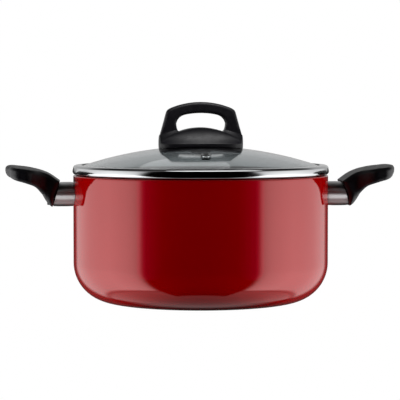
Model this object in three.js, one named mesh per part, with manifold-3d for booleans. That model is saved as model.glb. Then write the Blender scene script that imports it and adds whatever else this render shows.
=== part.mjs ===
// Two-handled casserole pot with a domed glass lid, built as separate pieces.
//
// Frame: millimetres, +Z up. The origin is the middle of the flat base, on the surface the pot
// stands on. The two grips lie along +X and -X, and -Y is the front, where the lid's steam vent is.

import * as THREE from 'three';
import { mergeVertices } from 'three/addons/utils/BufferGeometryUtils.js';
import { ConvexGeometry } from 'three/addons/geometries/ConvexGeometry.js';
import Module from 'manifold-3d';

const wasm = await Module();
wasm.setup();

// ---------------------------------------------------------------- driving dimensions

const GAP = 0.3; // clearance between two pieces that touch
const ROUND_FACETS = 56; // facets round the pot and the lid
const SMALL_FACETS = 16; // facets round bosses, washers and screws

const POT = {
  radius: 123,
  height: 122.5,
  wall: 2.6,
  corner: 38, // outer radius where the wall turns into the base
  foot: 0.2, // how far the aluminium stands above the base disc's face
  floor: 5.4, // height of the inside floor
};

const DISC = { radius: 78, thickness: 1.4 };

const HANDLE = { height: 104.1 }; // height of both handle axes above the table

const FERRULE = { halfWidth: 21, halfHeight: 11.75, sheet: 1 };

const GRIP = {
  innerTop: [135.8, 116.9], // top and bottom of the slanted face against the ferrule
  innerBottom: [142.9, 92.6],
  rootHalfWidth: 22.5,
  halfWidth: 38,
  tip: 189.2,
  tenonStart: 128,
  tenonClearance: 0.4,
};

const STUD = { radius: 5, bore: 2.7, start: 123.4, end: 133 };

const HANDLE_SCREW = { shank: 2.35, tip: 125.5, head: 4.5, headLength: 3, seat: 144.5 };
const SCREW_WASHER = { bore: 2.8, radius: 4.7, thickness: 1 };
const COUNTERBORE = 5.5;

// Lid heights are measured from the lid's seat, the underside of the flange on the pot's rim.
const GLASS = { apex: 27.2, domeRadius: 358, thickness: 4, edge: 121.8, bore: 4.5, ventBore: 3.9 };

const RIM = {
  outer: 123.8,
  height: 9.2,
  lean: 0.7, // how much narrower the band is at its top
  sheet: 0.7,
  topRound: 2.8,
  bottomRound: 3.5,
  lipInner: 115,
  lipRise: 0.4, // how much the top lip climbs towards the glass
  skirtOuter: 118.6,
  skirtDrop: 5.2,
  innerLegTop: 2.2,
};

const VENT = { reach: 70, flange: 5, barrel: 3.4, hole: 1.8, cap: 0.9, flare: 4.4, flareLength: 0.8 };
const VENT_WASHER = { bore: 3.8, radius: 5.2, thickness: 0.8 };

const KNOB = {
  halfWidth: 41,
  halfDepth: 19.5,
  roundness: 2.6, // exponent of the superelliptic plan
  skirtTop: 29.8,
  ridge: 45.4, // top of the base under the finger opening
  creaseDepth: 10,
  creaseFall: 0.0085, // parabola of the front panel's upper edge
  footFall: 0.0043, // parabola of the line where the arch meets the base
  shell: 3.6,
};

const ARCH = {
  halfDepth: 8,
  top: 69.9,
  topRadius: 80,
  footHalfWidth: 40.2,
  foot: 33.2,
  shoulderHalfWidth: 33.6,
  shoulder: 59.9,
};

const FINGER_GAP = { halfWidth: 24, top: 59.2, corner: 8, bottom: 37.2 };

// The bolt stack through the middle of the glass, from the knob down.
const INSERT = { radius: 4, bore: 2.75, length: 12 };
const KNOB_SEAL = { radius: 9, bore: 3, thickness: 1.2 };
const KNOB_BOSS = 9;
const LID_GASKET = { radius: 10, bore: 3, thickness: 1.4 };
const LID_WASHER = { radius: 9, bore: 2.9, thickness: 1 };
const LID_SCREW = { shank: 2.4, head: 4.8, headLength: 2.5, length: 20 };

// ---------------------------------------------------------------- finishes

const RED_ENAMEL = { color: 0x7a0206, roughness: 0.18, metalness: 0 };
const POLISHED_STEEL = { color: 0xc9cbcd, roughness: 0.16, metalness: 1 };
const SATIN_STEEL = { color: 0xb4b6b8, roughness: 0.34, metalness: 1 };
const ALUMINIUM = { color: 0xb9babc, roughness: 0.4, metalness: 1 };
const BLACK_BAKELITE = { color: 0x131216, roughness: 0.42, metalness: 0 };
const SILICONE = { color: 0x2b2b2d, roughness: 0.75, metalness: 0 };
const BRASS = { color: 0xb08d4a, roughness: 0.35, metalness: 1 };
const CLEAR_GLASS = { color: 0xa7b4b8, roughness: 0.05, metalness: 0, transparent: true, opacity: 0.4 };

// ---------------------------------------------------------------- helpers

/** A piece: one named mesh with its own material. */
function piece(name, geometry, finish) {
  const mesh = new THREE.Mesh(geometry, new THREE.MeshStandardMaterial(finish));
  mesh.name = name;
  return mesh;
}

/** Position-only copy of a geometry with shared corners merged, as a manifold solid. */
function toSolid(geometry) {
  const bare = geometry.clone();
  bare.deleteAttribute('normal');
  bare.deleteAttribute('uv');
  const merged = mergeVertices(bare, 1e-4);
  const index = merged.index.array;
  const kept = [];
  for (let i = 0; i < index.length; i += 3) {
    const [a, b, c] = [index[i], index[i + 1], index[i + 2]];
    if (a !== b && b !== c && c !== a) {
      kept.push(a, b, c);
    }
  }
  const vertProperties = new Float32Array(merged.attributes.position.array);
  return new wasm.Manifold(new wasm.Mesh({ numProp: 3, vertProperties, triVerts: new Uint32Array(kept) }));
}

/** Manifold solid back to a three.js geometry. */
function toGeometry(solid) {
  const mesh = solid.getMesh();
  const geometry = new THREE.BufferGeometry();
  geometry.setAttribute('position', new THREE.BufferAttribute(mesh.vertProperties, 3));
  geometry.setIndex(new THREE.BufferAttribute(mesh.triVerts, 1));
  geometry.computeVertexNormals();
  return geometry;
}

/** Revolves a path of [radius, height] about Z; arcs get twice `arcSteps` segments. */
function lathe(path, facets = ROUND_FACETS, arcSteps = 3) {
  const geometry = new THREE.LatheGeometry(path.getPoints(arcSteps), facets);
  return geometry.rotateX(Math.PI / 2);
}

/** Straight-sided path through [radius, height] corners, closed on itself. */
function polygonPath(corners) {
  const path = new THREE.Path();
  path.setFromPoints([...corners, corners[0]].map(([x, y]) => new THREE.Vector2(x, y)));
  return path;
}

/** A ring of rectangular section about Z. */
function ring(bore, radius, low, high, facets = SMALL_FACETS) {
  return lathe(polygonPath([[bore, low], [radius, low], [radius, high], [bore, high]]), facets);
}

/** A cylinder along Z between two heights. */
function rod(radius, low, high, facets = SMALL_FACETS) {
  const geometry = new THREE.CylinderGeometry(radius, radius, high - low, facets);
  return geometry.rotateX(Math.PI / 2).translate(0, 0, (low + high) / 2);
}

/** Turns a geometry modelled along +Z so that it runs along +X at the handles' height. */
function alongHandle(geometry) {
  const toHandle = new THREE.Matrix4().makeBasis(
    new THREE.Vector3(0, 1, 0),
    new THREE.Vector3(0, 0, 1),
    new THREE.Vector3(1, 0, 0),
  );
  return geometry.applyMatrix4(toHandle).translate(0, 0, HANDLE.height);
}

/** Extrudes a shape along its own +Z from `low` to `high`. */
function extrude(shape, low, high, curveSegments) {
  const options = { depth: high - low, bevelEnabled: false, curveSegments };
  return new THREE.ExtrudeGeometry(shape, options).translate(0, 0, low);
}

/** Extrudes a shape drawn in X and Z symmetrically along Y. */
function extrudeAcross(shape, halfDepth, curveSegments) {
  return extrude(shape, -halfDepth, halfDepth, curveSegments).rotateX(Math.PI / 2);
}

/** Ellipse of given half sizes as a shape. */
function ellipse(halfWidth, halfHeight) {
  const shape = new THREE.Shape();
  shape.absellipse(0, 0, halfWidth, halfHeight, 0, 2 * Math.PI, false, 0);
  return shape;
}

/** Cross recess for a screwdriver, cut `depth` deep into a face at `height` that faces `side`. */
function crossRecess(height, side, depth = 1.6, reach = 2.6, slot = 1) {
  const middle = height - (side * depth) / 2;
  const bars = [[2 * reach, slot], [slot, 2 * reach]];
  const [first, second] = bars.map(([sizeX, sizeY]) => {
    const bar = new THREE.BoxGeometry(sizeX, sizeY, depth + GAP);
    return toSolid(bar.translate(0, 0, middle + (side * GAP) / 2));
  });
  return first.add(second);
}

// ---------------------------------------------------------------- pot

function potBody() {
  const inner = POT.radius - POT.wall;
  const pocketTop = DISC.thickness + GAP;
  const innerCorner = POT.corner - POT.wall;
  const halfWall = POT.wall / 2;
  const path = new THREE.Path();
  path.moveTo(0, pocketTop);
  path.lineTo(DISC.radius + GAP, pocketTop);
  path.lineTo(DISC.radius + GAP, POT.foot);
  path.absarc(POT.radius - POT.corner, POT.foot + POT.corner, POT.corner, -Math.PI / 2, 0);
  path.absarc(POT.radius - halfWall, POT.height - halfWall, halfWall, 0, Math.PI);
  path.absarc(inner - innerCorner, POT.floor + innerCorner, innerCorner, 0, -Math.PI / 2, true);
  path.lineTo(0, POT.floor);
  return piece('pot_body', lathe(path), RED_ENAMEL);
}

function baseDisc() {
  const chamfer = 0.5;
  const path = new THREE.Path();
  path.moveTo(0, 0);
  path.lineTo(DISC.radius - chamfer, 0);
  path.lineTo(DISC.radius, chamfer);
  path.lineTo(DISC.radius, DISC.thickness);
  path.lineTo(0, DISC.thickness);
  return piece('base_disc', lathe(path), SATIN_STEEL);
}

// ---------------------------------------------------------------- handles

function weldStud(name) {
  return piece(name, alongHandle(ring(STUD.bore, STUD.radius, STUD.start, STUD.end)), ALUMINIUM);
}

/** Everything on the pot's side of the grip's slanted face, moved `offset` towards the pot. */
function slantedTrim(offset) {
  const reach = 40;
  const [topX, topZ] = GRIP.innerTop;
  const [bottomX, bottomZ] = GRIP.innerBottom;
  const slope = (bottomX - topX) / (topZ - bottomZ);
  const above = new THREE.Vector2(topX - slope * reach - offset, topZ + reach);
  const below = new THREE.Vector2(bottomX + slope * reach - offset, bottomZ - reach);
  const outside = new THREE.Shape([above, below, new THREE.Vector2(GRIP.tip + reach, below.y),
    new THREE.Vector2(GRIP.tip + reach, above.y)]);
  return toSolid(extrudeAcross(outside, 2 * GRIP.halfWidth, 1));
}

function ferrule(name) {
  const shape = ellipse(FERRULE.halfWidth, FERRULE.halfHeight);
  shape.holes.push(ellipse(FERRULE.halfWidth - FERRULE.sheet, FERRULE.halfHeight - FERRULE.sheet));
  const tube = toSolid(alongHandle(extrude(shape, POT.radius - 8, GRIP.innerBottom[0] + 8, 18)));
  const wallCut = toSolid(rod(POT.radius + GAP, 0, POT.height, 2 * ROUND_FACETS));
  return piece(name, toGeometry(tube.subtract(wallCut).subtract(slantedTrim(GAP))), SATIN_STEEL);
}

/** Side view of the grip: it rises from the ferrule and levels out over the fingers. */
function gripProfile() {
  const shape = new THREE.Shape();
  shape.moveTo(...GRIP.innerTop);
  shape.splineThru([[148, 124.8], [164, 130], [180, 132.1]].map(([x, z]) => new THREE.Vector2(x, z)));
  shape.quadraticCurveTo(188.8, 132.9, 189, 128.4);
  shape.quadraticCurveTo(189, 122.9, 183.6, 121.2);
  shape.splineThru([[170, 117.9], [160, 113.4], [152.4, 104.6]].map(([x, z]) => new THREE.Vector2(x, z)));
  shape.quadraticCurveTo(147.6, 94.6, ...GRIP.innerBottom);
  shape.closePath();
  return shape;
}

/** Plan view of the grip: a narrow root that flares to a wide rounded end. */
function gripPlan() {
  const { rootHalfWidth: root, halfWidth: wide, tip } = GRIP;
  const shoulder = 184.5;
  const shape = new THREE.Shape();
  shape.moveTo(GRIP.tenonStart, -root);
  shape.lineTo(146, -root);
  shape.bezierCurveTo(156, -root, 157, -wide, 168, -wide);
  shape.lineTo(173, -wide);
  shape.quadraticCurveTo(182.5, -wide, shoulder, -wide / 2);
  shape.quadraticCurveTo(2 * tip - shoulder, 0, shoulder, wide / 2);
  shape.quadraticCurveTo(182.5, wide, 173, wide);
  shape.lineTo(168, wide);
  shape.bezierCurveTo(157, wide, 156, root, 146, root);
  shape.lineTo(GRIP.tenonStart, root);
  shape.closePath();
  return shape;
}

function grip(name) {
  const side = toSolid(extrudeAcross(gripProfile(), GRIP.halfWidth + 2, 4));
  const plan = toSolid(extrude(gripPlan(), HANDLE.height - 30, HANDLE.height + 40, 5));
  const inset = FERRULE.sheet + GRIP.tenonClearance;
  const section = ellipse(FERRULE.halfWidth - inset, FERRULE.halfHeight - inset);
  const tenon = toSolid(alongHandle(extrude(section, GRIP.tenonStart, HANDLE_SCREW.seat, 8)));
  const studPocket = toSolid(alongHandle(rod(STUD.radius + GAP, GRIP.tenonStart - 1, STUD.end + GAP)));
  const screwWay = toSolid(alongHandle(rod(SCREW_WASHER.bore, GRIP.tenonStart - 1, GRIP.tip)));
  const headWay = toSolid(alongHandle(rod(COUNTERBORE, HANDLE_SCREW.seat, GRIP.tip)));
  const solid = side.intersect(plan).add(tenon).subtract(studPocket).subtract(screwWay).subtract(headWay);
  return piece(name, toGeometry(solid), BLACK_BAKELITE);
}

function screwWasher(name) {
  const low = HANDLE_SCREW.seat + GAP;
  const shape = ring(SCREW_WASHER.bore, SCREW_WASHER.radius, low, low + SCREW_WASHER.thickness);
  return piece(name, alongHandle(shape), SATIN_STEEL);
}

/** Screw along +Z: the head's outer face is at `face`, and the shank runs to `tip`. */
function screwSolid(shank, head, headLength, tip, face) {
  const side = Math.sign(face - tip);
  const neck = face - side * headLength;
  const crown = 0.8;
  const path = new THREE.Path();
  path.moveTo(0, tip);
  path.lineTo(shank * 0.75, tip);
  path.lineTo(shank, tip + side * shank * 0.4);
  path.lineTo(shank, neck);
  path.lineTo(head, neck);
  path.lineTo(head, face - side * crown);
  path.lineTo(head - crown, face);
  path.lineTo(0, face);
  const points = side > 0 ? path.getPoints() : path.getPoints().reverse();
  const body = new THREE.LatheGeometry(points, SMALL_FACETS).rotateX(Math.PI / 2);
  return toSolid(body).subtract(crossRecess(face, side));
}

function handleScrew(name) {
  const { shank, head, headLength, tip, seat } = HANDLE_SCREW;
  const face = seat + SCREW_WASHER.thickness + 2 * GAP + headLength;
  const solid = screwSolid(shank, head, headLength, tip, face);
  return piece(name, alongHandle(toGeometry(solid)), SATIN_STEEL);
}

/** One handle, modelled towards +X and turned about Z to its side. */
function handle(side, turn) {
  const group = new THREE.Group();
  group.add(
    weldStud(`${side}_weld_stud`),
    ferrule(`${side}_ferrule`),
    grip(`${side}_grip`),
    screwWasher(`${side}_screw_washer`),
    handleScrew(`${side}_handle_screw`),
  );
  group.rotation.z = turn;
  return group;
}

// ---------------------------------------------------------------- lid

/** Height of the glass dome's outer face at a distance from the axis. */
function domeHeight(reach) {
  return GLASS.apex - GLASS.domeRadius + Math.sqrt(GLASS.domeRadius ** 2 - reach ** 2);
}

/** Tilt of the dome's surface at the steam vent. */
const ventTilt = Math.asin(VENT.reach / GLASS.domeRadius);

/** Puts a geometry or mesh that stands on the dome's surface at the vent in its place. */
function atVent(object) {
  object.rotation.x = ventTilt;
  object.position.set(0, -VENT.reach, domeHeight(VENT.reach));
  return object;
}

function glassLid() {
  const { domeRadius: outer, thickness, edge, bore } = GLASS;
  const inner = outer - thickness;
  const centre = GLASS.apex - outer;
  const path = new THREE.Path();
  path.absarc(0, centre, inner, Math.acos(bore / inner), Math.acos(edge / inner), true);
  path.absarc(0, centre, outer, Math.acos(edge / outer), Math.acos(bore / outer), false);
  path.closePath();
  const dome = toSolid(lathe(path));
  const drill = atVent(new THREE.Mesh(rod(GLASS.ventBore, -2 * thickness, 2 * thickness)));
  drill.updateMatrix();
  const hole = toSolid(drill.geometry.applyMatrix4(drill.matrix));
  return piece('glass_lid', toGeometry(dome.subtract(hole)), CLEAR_GLASS);
}

/** Steel sheet folded round the edge of the glass, with a skirt that drops inside the pot. */
function lidRim() {
  const { outer, lean, height, sheet, topRound, bottomRound, lipInner, lipRise } = RIM;
  const { skirtOuter, skirtDrop, innerLegTop } = RIM;
  const topCentre = outer - lean - topRound;
  const path = new THREE.Path();
  path.moveTo(lipInner, height + lipRise);
  path.lineTo(lipInner, height + lipRise - sheet);
  path.absarc(topCentre, height - topRound, topRound - sheet, Math.PI / 2, 0, true);
  path.absarc(outer - bottomRound, bottomRound, bottomRound - sheet, 0, -Math.PI / 2, true);
  path.lineTo(skirtOuter, sheet);
  path.lineTo(skirtOuter, innerLegTop);
  path.lineTo(skirtOuter - sheet, innerLegTop);
  path.lineTo(skirtOuter - sheet, -skirtDrop);
  path.lineTo(skirtOuter, -skirtDrop);
  path.lineTo(skirtOuter, 0);
  path.absarc(outer - bottomRound, bottomRound, bottomRound, -Math.PI / 2, 0, false);
  path.absarc(topCentre, height - topRound, topRound, 0, Math.PI / 2, false);
  path.closePath();
  return piece('lid_rim', lathe(path, ROUND_FACETS, 1), POLISHED_STEEL);
}

/** Rivet-like steam vent: a flange on the glass, a barrel through it and a flared lower end. */
function ventEyelet() {
  const flareTop = -GLASS.thickness - VENT_WASHER.thickness - 2 * GAP;
  const cap = GAP + VENT.cap;
  const path = polygonPath([
    [VENT.hole, flareTop - VENT.flareLength],
    [VENT.flare, flareTop - VENT.flareLength],
    [VENT.flare, flareTop],
    [VENT.barrel, flareTop],
    [VENT.barrel, GAP],
    [VENT.flange, GAP],
    [VENT.flange - 0.2, cap - 0.3],
    [VENT.flange - 1.2, cap],
    [VENT.hole, cap],
  ]);
  return atVent(piece('vent_eyelet', lathe(path, SMALL_FACETS), POLISHED_STEEL));
}

function ventWasher() {
  const top = -GLASS.thickness - GAP;
  const shape = ring(VENT_WASHER.bore, VENT_WASHER.radius, top - VENT_WASHER.thickness, top);
  return atVent(piece('vent_washer', shape, SATIN_STEEL));
}

/** Half depth of the knob's superelliptic plan at a distance from its middle. */
function planDepth(x, halfWidth, halfDepth) {
  return halfDepth * (1 - Math.abs(x / halfWidth) ** KNOB.roundness) ** (1 / KNOB.roundness);
}

/** The knob's plan as a shape, drawn smaller by `inset`. */
function knobPlan(inset) {
  const steps = 32;
  const halfWidth = KNOB.halfWidth - inset;
  const halfDepth = KNOB.halfDepth - inset;
  const points = [];
  for (let i = 0; i < steps; i += 1) {
    const angle = (2 * Math.PI * i) / steps;
    const x = halfWidth * Math.sign(Math.cos(angle)) * Math.abs(Math.cos(angle)) ** (2 / KNOB.roundness);
    points.push(new THREE.Vector2(x, Math.sign(Math.sin(angle)) * planDepth(x, halfWidth, halfDepth)));
  }
  return new THREE.Shape(points);
}

/** Upper part of the knob's base: sloping panels from the plan's edge up to a crowned ridge. */
function knobCrown(inset) {
  const steps = 12;
  const top = KNOB.ridge - inset;
  const end = KNOB.halfWidth - inset - 1.3;
  const edge = knobPlan(inset).getPoints();
  const points = edge.map(({ x, y }) => new THREE.Vector3(x, y, KNOB.skirtTop - inset / 2));
  for (let i = 0; i <= steps; i += 1) {
    const x = end * (-1 + (2 * i) / steps);
    const crease = (KNOB.creaseDepth - inset) * (1 - 0.4 * (x / end) ** 2);
    const foot = Math.min(ARCH.halfDepth - inset, crease);
    for (const side of [-1, 1]) {
      points.push(new THREE.Vector3(x, side * crease, top - KNOB.creaseFall * x ** 2));
      points.push(new THREE.Vector3(x, side * foot, top - KNOB.footFall * x ** 2));
    }
  }
  return toSolid(new ConvexGeometry(points));
}

/** Front view of the arch above the base, with the finger opening through it. */
function archShape() {
  const { top, topRadius, foot, footHalfWidth, shoulder, shoulderHalfWidth } = ARCH;
  const arcAngle = Math.asin((shoulderHalfWidth - 4) / topRadius);
  const shape = new THREE.Shape();
  shape.moveTo(-footHalfWidth, foot);
  shape.lineTo(footHalfWidth, foot);
  shape.lineTo(shoulderHalfWidth, shoulder);
  const arcEnd = top - topRadius * (1 - Math.cos(arcAngle));
  shape.quadraticCurveTo(shoulderHalfWidth - 0.8, arcEnd - 1.6, shoulderHalfWidth - 4, arcEnd);
  shape.absarc(0, top - topRadius, topRadius, Math.PI / 2 - arcAngle, Math.PI / 2 + arcAngle, false);
  shape.quadraticCurveTo(0.8 - shoulderHalfWidth, arcEnd - 1.6, -shoulderHalfWidth, shoulder);
  shape.closePath();
  shape.holes.push(fingerOpening());
  return shape;
}

function fingerOpening() {
  const { halfWidth, top, corner, bottom } = FINGER_GAP;
  const drop = 2; // how much the opening's top falls from its middle to its corners
  const path = new THREE.Path();
  path.moveTo(-halfWidth, bottom);
  path.lineTo(-halfWidth, top - drop - corner);
  path.quadraticCurveTo(-halfWidth, top - drop, corner - halfWidth, top - drop);
  path.quadraticCurveTo(0, top + drop, halfWidth - corner, top - drop);
  path.quadraticCurveTo(halfWidth, top - drop, halfWidth, top - drop - corner);
  path.lineTo(halfWidth, bottom);
  path.closePath();
  return path;
}

/** Solid that fills the space under the dome's outer face, raised by the clearance. */
function domeCutter() {
  const reach = 60;
  const radius = GLASS.domeRadius;
  const path = new THREE.Path();
  path.moveTo(0, 0);
  path.lineTo(reach, 0);
  path.absarc(0, GLASS.apex + GAP - radius, radius, Math.acos(reach / radius), Math.PI / 2, false);
  return toSolid(lathe(path));
}

const bossBottom = GLASS.apex + KNOB_SEAL.thickness + 2 * GAP;
const insertTop = bossBottom + GAP + INSERT.length;

/** One moulding: a hollow oval base that follows the dome, and an arch over a finger opening. */
function lidKnob() {
  const plan = toSolid(extrude(knobPlan(0), 20, ARCH.top + 5, 1));
  const skirt = toSolid(extrude(knobPlan(0), 20, KNOB.skirtTop, 1));
  const arch = toSolid(extrudeAcross(archShape(), ARCH.halfDepth, 8)).intersect(plan);
  const hollow = toSolid(extrude(knobPlan(KNOB.shell), 18, KNOB.skirtTop - KNOB.shell / 2, 1));
  const cavity = hollow.add(knobCrown(KNOB.shell));
  const boss = toSolid(rod(KNOB_BOSS, bossBottom, KNOB.ridge - 1));
  const socket = toSolid(rod(INSERT.radius + GAP, bossBottom - 1, insertTop + GAP));
  const shell = skirt.add(knobCrown(0)).add(arch).subtract(domeCutter()).subtract(cavity);
  return piece('lid_knob', toGeometry(shell.add(boss).subtract(socket)), BLACK_BAKELITE);
}

function knobInsert() {
  const shape = ring(INSERT.bore, INSERT.radius, insertTop - INSERT.length, insertTop);
  return piece('knob_insert', shape, BRASS);
}

function knobSeal() {
  const low = GLASS.apex + GAP;
  return piece('knob_seal', ring(KNOB_SEAL.bore, KNOB_SEAL.radius, low, low + KNOB_SEAL.thickness), SILICONE);
}

const gasketTop = GLASS.apex - GLASS.thickness - GAP;
const washerTop = gasketTop - LID_GASKET.thickness - GAP;
const headTop = washerTop - LID_WASHER.thickness - GAP;

function lidGasket() {
  const shape = ring(LID_GASKET.bore, LID_GASKET.radius, gasketTop - LID_GASKET.thickness, gasketTop);
  return piece('lid_gasket', shape, SILICONE);
}

function lidWasher() {
  const shape = ring(LID_WASHER.bore, LID_WASHER.radius, washerTop - LID_WASHER.thickness, washerTop);
  return piece('lid_washer', shape, SATIN_STEEL);
}

function lidScrew() {
  const { shank, head, headLength, length } = LID_SCREW;
  const solid = screwSolid(shank, head, headLength, headTop + length, headTop - headLength);
  return piece('lid_screw', toGeometry(solid), SATIN_STEEL);
}

/** The lid, built up from its seat and set on the pot's rim. */
function lid() {
  const group = new THREE.Group();
  group.add(
    glassLid(),
    lidRim(),
    ventEyelet(),
    ventWasher(),
    lidKnob(),
    knobInsert(),
    knobSeal(),
    lidGasket(),
    lidWasher(),
    lidScrew(),
  );
  group.position.z = POT.height + GAP;
  return group;
}

// ---------------------------------------------------------------- assembly

const casserole = new THREE.Group();
casserole.add(potBody(), baseDisc(), handle('right', 0), handle('left', Math.PI), lid());

export default casserole;
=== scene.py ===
"""Looks of the two-handled pot: fine meshes, materials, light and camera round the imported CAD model.

Shapes are worked out in millimetres and turned into metres when a mesh is made. +Z is up, the grips
lie along X, and -Y is the front.
"""
import math

import bmesh
import bpy
import numpy as np
from mathutils import Matrix, Vector


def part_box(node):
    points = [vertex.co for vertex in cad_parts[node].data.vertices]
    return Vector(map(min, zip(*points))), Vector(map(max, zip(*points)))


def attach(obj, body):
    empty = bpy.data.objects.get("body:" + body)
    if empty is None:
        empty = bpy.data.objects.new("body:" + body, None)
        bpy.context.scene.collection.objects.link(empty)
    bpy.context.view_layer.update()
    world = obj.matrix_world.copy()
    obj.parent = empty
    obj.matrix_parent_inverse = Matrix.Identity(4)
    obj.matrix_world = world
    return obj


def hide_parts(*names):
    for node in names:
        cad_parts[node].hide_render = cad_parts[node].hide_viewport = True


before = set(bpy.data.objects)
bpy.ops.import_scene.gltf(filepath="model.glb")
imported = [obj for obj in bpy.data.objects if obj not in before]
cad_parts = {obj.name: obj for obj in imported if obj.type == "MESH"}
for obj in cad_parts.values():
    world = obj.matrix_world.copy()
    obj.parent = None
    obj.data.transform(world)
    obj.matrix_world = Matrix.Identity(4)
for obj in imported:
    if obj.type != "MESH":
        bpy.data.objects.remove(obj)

MM = 0.001
TURN = 2 * math.pi
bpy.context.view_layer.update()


def box_mm(node):
    """Lowest and highest corner of a CAD node, in millimetres."""
    low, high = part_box(node)
    return low / MM, high / MM


# ---------------------------------------------------------------- measures

POT_LOW, POT_HIGH = box_mm("pot_body")
POT_RADIUS, POT_TOP, POT_FOOT = POT_HIGH.x, POT_HIGH.z, POT_LOW.z
WALL = 2.6
CORNER = 38.0
FLOOR = 5.4
COATING = 0.15

_, DISC_HIGH = box_mm("base_disc")
DISC_RADIUS, DISC_TOP = DISC_HIGH.x, DISC_HIGH.z

_, RIM_HIGH = box_mm("lid_rim")
RIM_RADIUS = RIM_HIGH.x
SEAT_GAP = 0.3
SEAT = POT_TOP + SEAT_GAP
SHEET = 0.7

_, GLASS_HIGH = box_mm("glass_lid")
GLASS_EDGE = GLASS_HIGH.x
GLASS_THICK = 4.0
DOME_RADIUS = 358.0
GLASS_BORE = 4.5
DOME_TOP = GLASS_HIGH.z + DOME_RADIUS - math.sqrt(DOME_RADIUS**2 - GLASS_BORE**2)
DOME_CENTRE = DOME_TOP - DOME_RADIUS
VENT_REACH = 70.0
VENT_TILT = math.asin(VENT_REACH / DOME_RADIUS)

KNOB_LOW, KNOB_HIGH = box_mm("lid_knob")
GRIP_LOW, GRIP_HIGH = box_mm("right_grip")
FERRULE_LOW, FERRULE_HIGH = box_mm("right_ferrule")
HANDLE_Z = (FERRULE_LOW.z + FERRULE_HIGH.z) / 2


def dome_z(reach, lift=0.0):
    """Height of the dome's outer face, or of the parallel face `lift` above it."""
    return DOME_CENTRE + math.sqrt((DOME_RADIUS + lift) ** 2 - reach**2)


# ---------------------------------------------------------------- outlines

def arc(x, y, radius, start, end, steps):
    """Points of an arc, angles in degrees."""
    angles = np.radians(np.linspace(start, end, steps + 1))
    return [(x + radius * math.cos(a), y + radius * math.sin(a)) for a in angles]


def bezier(points, steps):
    """Points of a quadratic or cubic curve, without its first point."""
    made = []
    for i in range(1, steps + 1):
        row = [Vector(p) for p in points]
        while len(row) > 1:
            row = [a.lerp(b, i / steps) for a, b in zip(row, row[1:])]
        made.append(tuple(row[0]))
    return made


def spline(points, steps):
    """Catmull-Rom curve through the points, the first one included."""
    row = [Vector(p) for p in points]
    row = [2 * row[0] - row[1], *row, 2 * row[-1] - row[-2]]
    made = []
    for a, b, c, d in zip(row, row[1:], row[2:], row[3:]):
        for i in range(steps):
            t = i / steps
            made.append(tuple(0.5 * (2 * b + (c - a) * t + (2 * a - 5 * b + 4 * c - d) * t**2
                                     + (3 * b - a - 3 * c + d) * t**3)))
    return made + [tuple(row[-2])]


def rounded_box(low_r, low_z, high_r, high_z, radius):
    """Rectangle with rounded corners, as a closed outline."""
    steps = 4
    return (arc(high_r - radius, low_z + radius, radius, -90, 0, steps)
            + arc(high_r - radius, high_z - radius, radius, 0, 90, steps)
            + arc(low_r + radius, high_z - radius, radius, 90, 180, steps)
            + arc(low_r + radius, low_z + radius, radius, 180, 270, steps))


# ---------------------------------------------------------------- meshes

SHARP_DEGREES = 35.0


def add_object(name, data):
    """Object with the given data, linked to the scene."""
    made = bpy.data.objects.new(name, data)
    bpy.context.scene.collection.objects.link(made)
    return made


def make_piece(name, verts, faces, sharp_degrees=SHARP_DEGREES):
    """Smooth-shaded mesh object from millimetres, with its hard edges kept hard."""
    merge, sliver = 0.002 * MM, 0.001 * MM
    mesh = bpy.data.meshes.new(name)
    mesh.from_pydata([tuple(np.array(v) * MM) for v in verts], [], faces)
    work = bmesh.new()
    work.from_mesh(mesh)
    bmesh.ops.remove_doubles(work, verts=work.verts, dist=merge)
    bmesh.ops.dissolve_degenerate(work, edges=work.edges, dist=sliver)
    bmesh.ops.recalc_face_normals(work, faces=work.faces)
    work.to_mesh(mesh)
    work.free()
    mesh.shade_smooth()
    mesh.set_sharp_from_angle(angle=math.radians(sharp_degrees))
    return add_object(name, mesh)


def lathe(name, outline, segments=192, place=None):
    """Revolves an outline of (radius, height) about Z; it closes on itself or ends on the axis."""
    on_axis = outline[0][0] < 1e-6 and outline[-1][0] < 1e-6
    count = len(outline)
    verts = []
    for i in range(segments):
        c, s = math.cos(TURN * i / segments), math.sin(TURN * i / segments)
        verts += [(r * c, r * s, z) for r, z in outline]
    faces = []
    for i in range(segments):
        here, there = i * count, (i + 1) % segments * count
        for k in range(count - 1 if on_axis else count):
            n = (k + 1) % count
            faces.append((here + k, there + k, there + n, here + n))
    if place is not None:
        verts = [tuple(place @ Vector(v)) for v in verts]
    return make_piece(name, verts, faces)


def apply_modifiers(piece):
    """Bakes the piece's modifiers into its mesh."""
    graph = bpy.context.evaluated_depsgraph_get()
    mesh = bpy.data.meshes.new_from_object(piece.evaluated_get(graph))
    piece.modifiers.clear()
    piece.data = mesh
    return piece


def cut(piece, *cutters):
    """Cuts pieces out of a piece and deletes them."""
    for cutter in cutters:
        tool = piece.modifiers.new("cut", "BOOLEAN")
        tool.operation = "DIFFERENCE"
        tool.solver = "EXACT"
        tool.object = cutter
        apply_modifiers(piece)
        bpy.data.objects.remove(cutter)
    piece.data.shade_smooth()
    piece.data.set_sharp_from_angle(angle=math.radians(SHARP_DEGREES))
    return piece


# Rounded solids are made from a distance field: negative inside, in millimetres.

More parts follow.
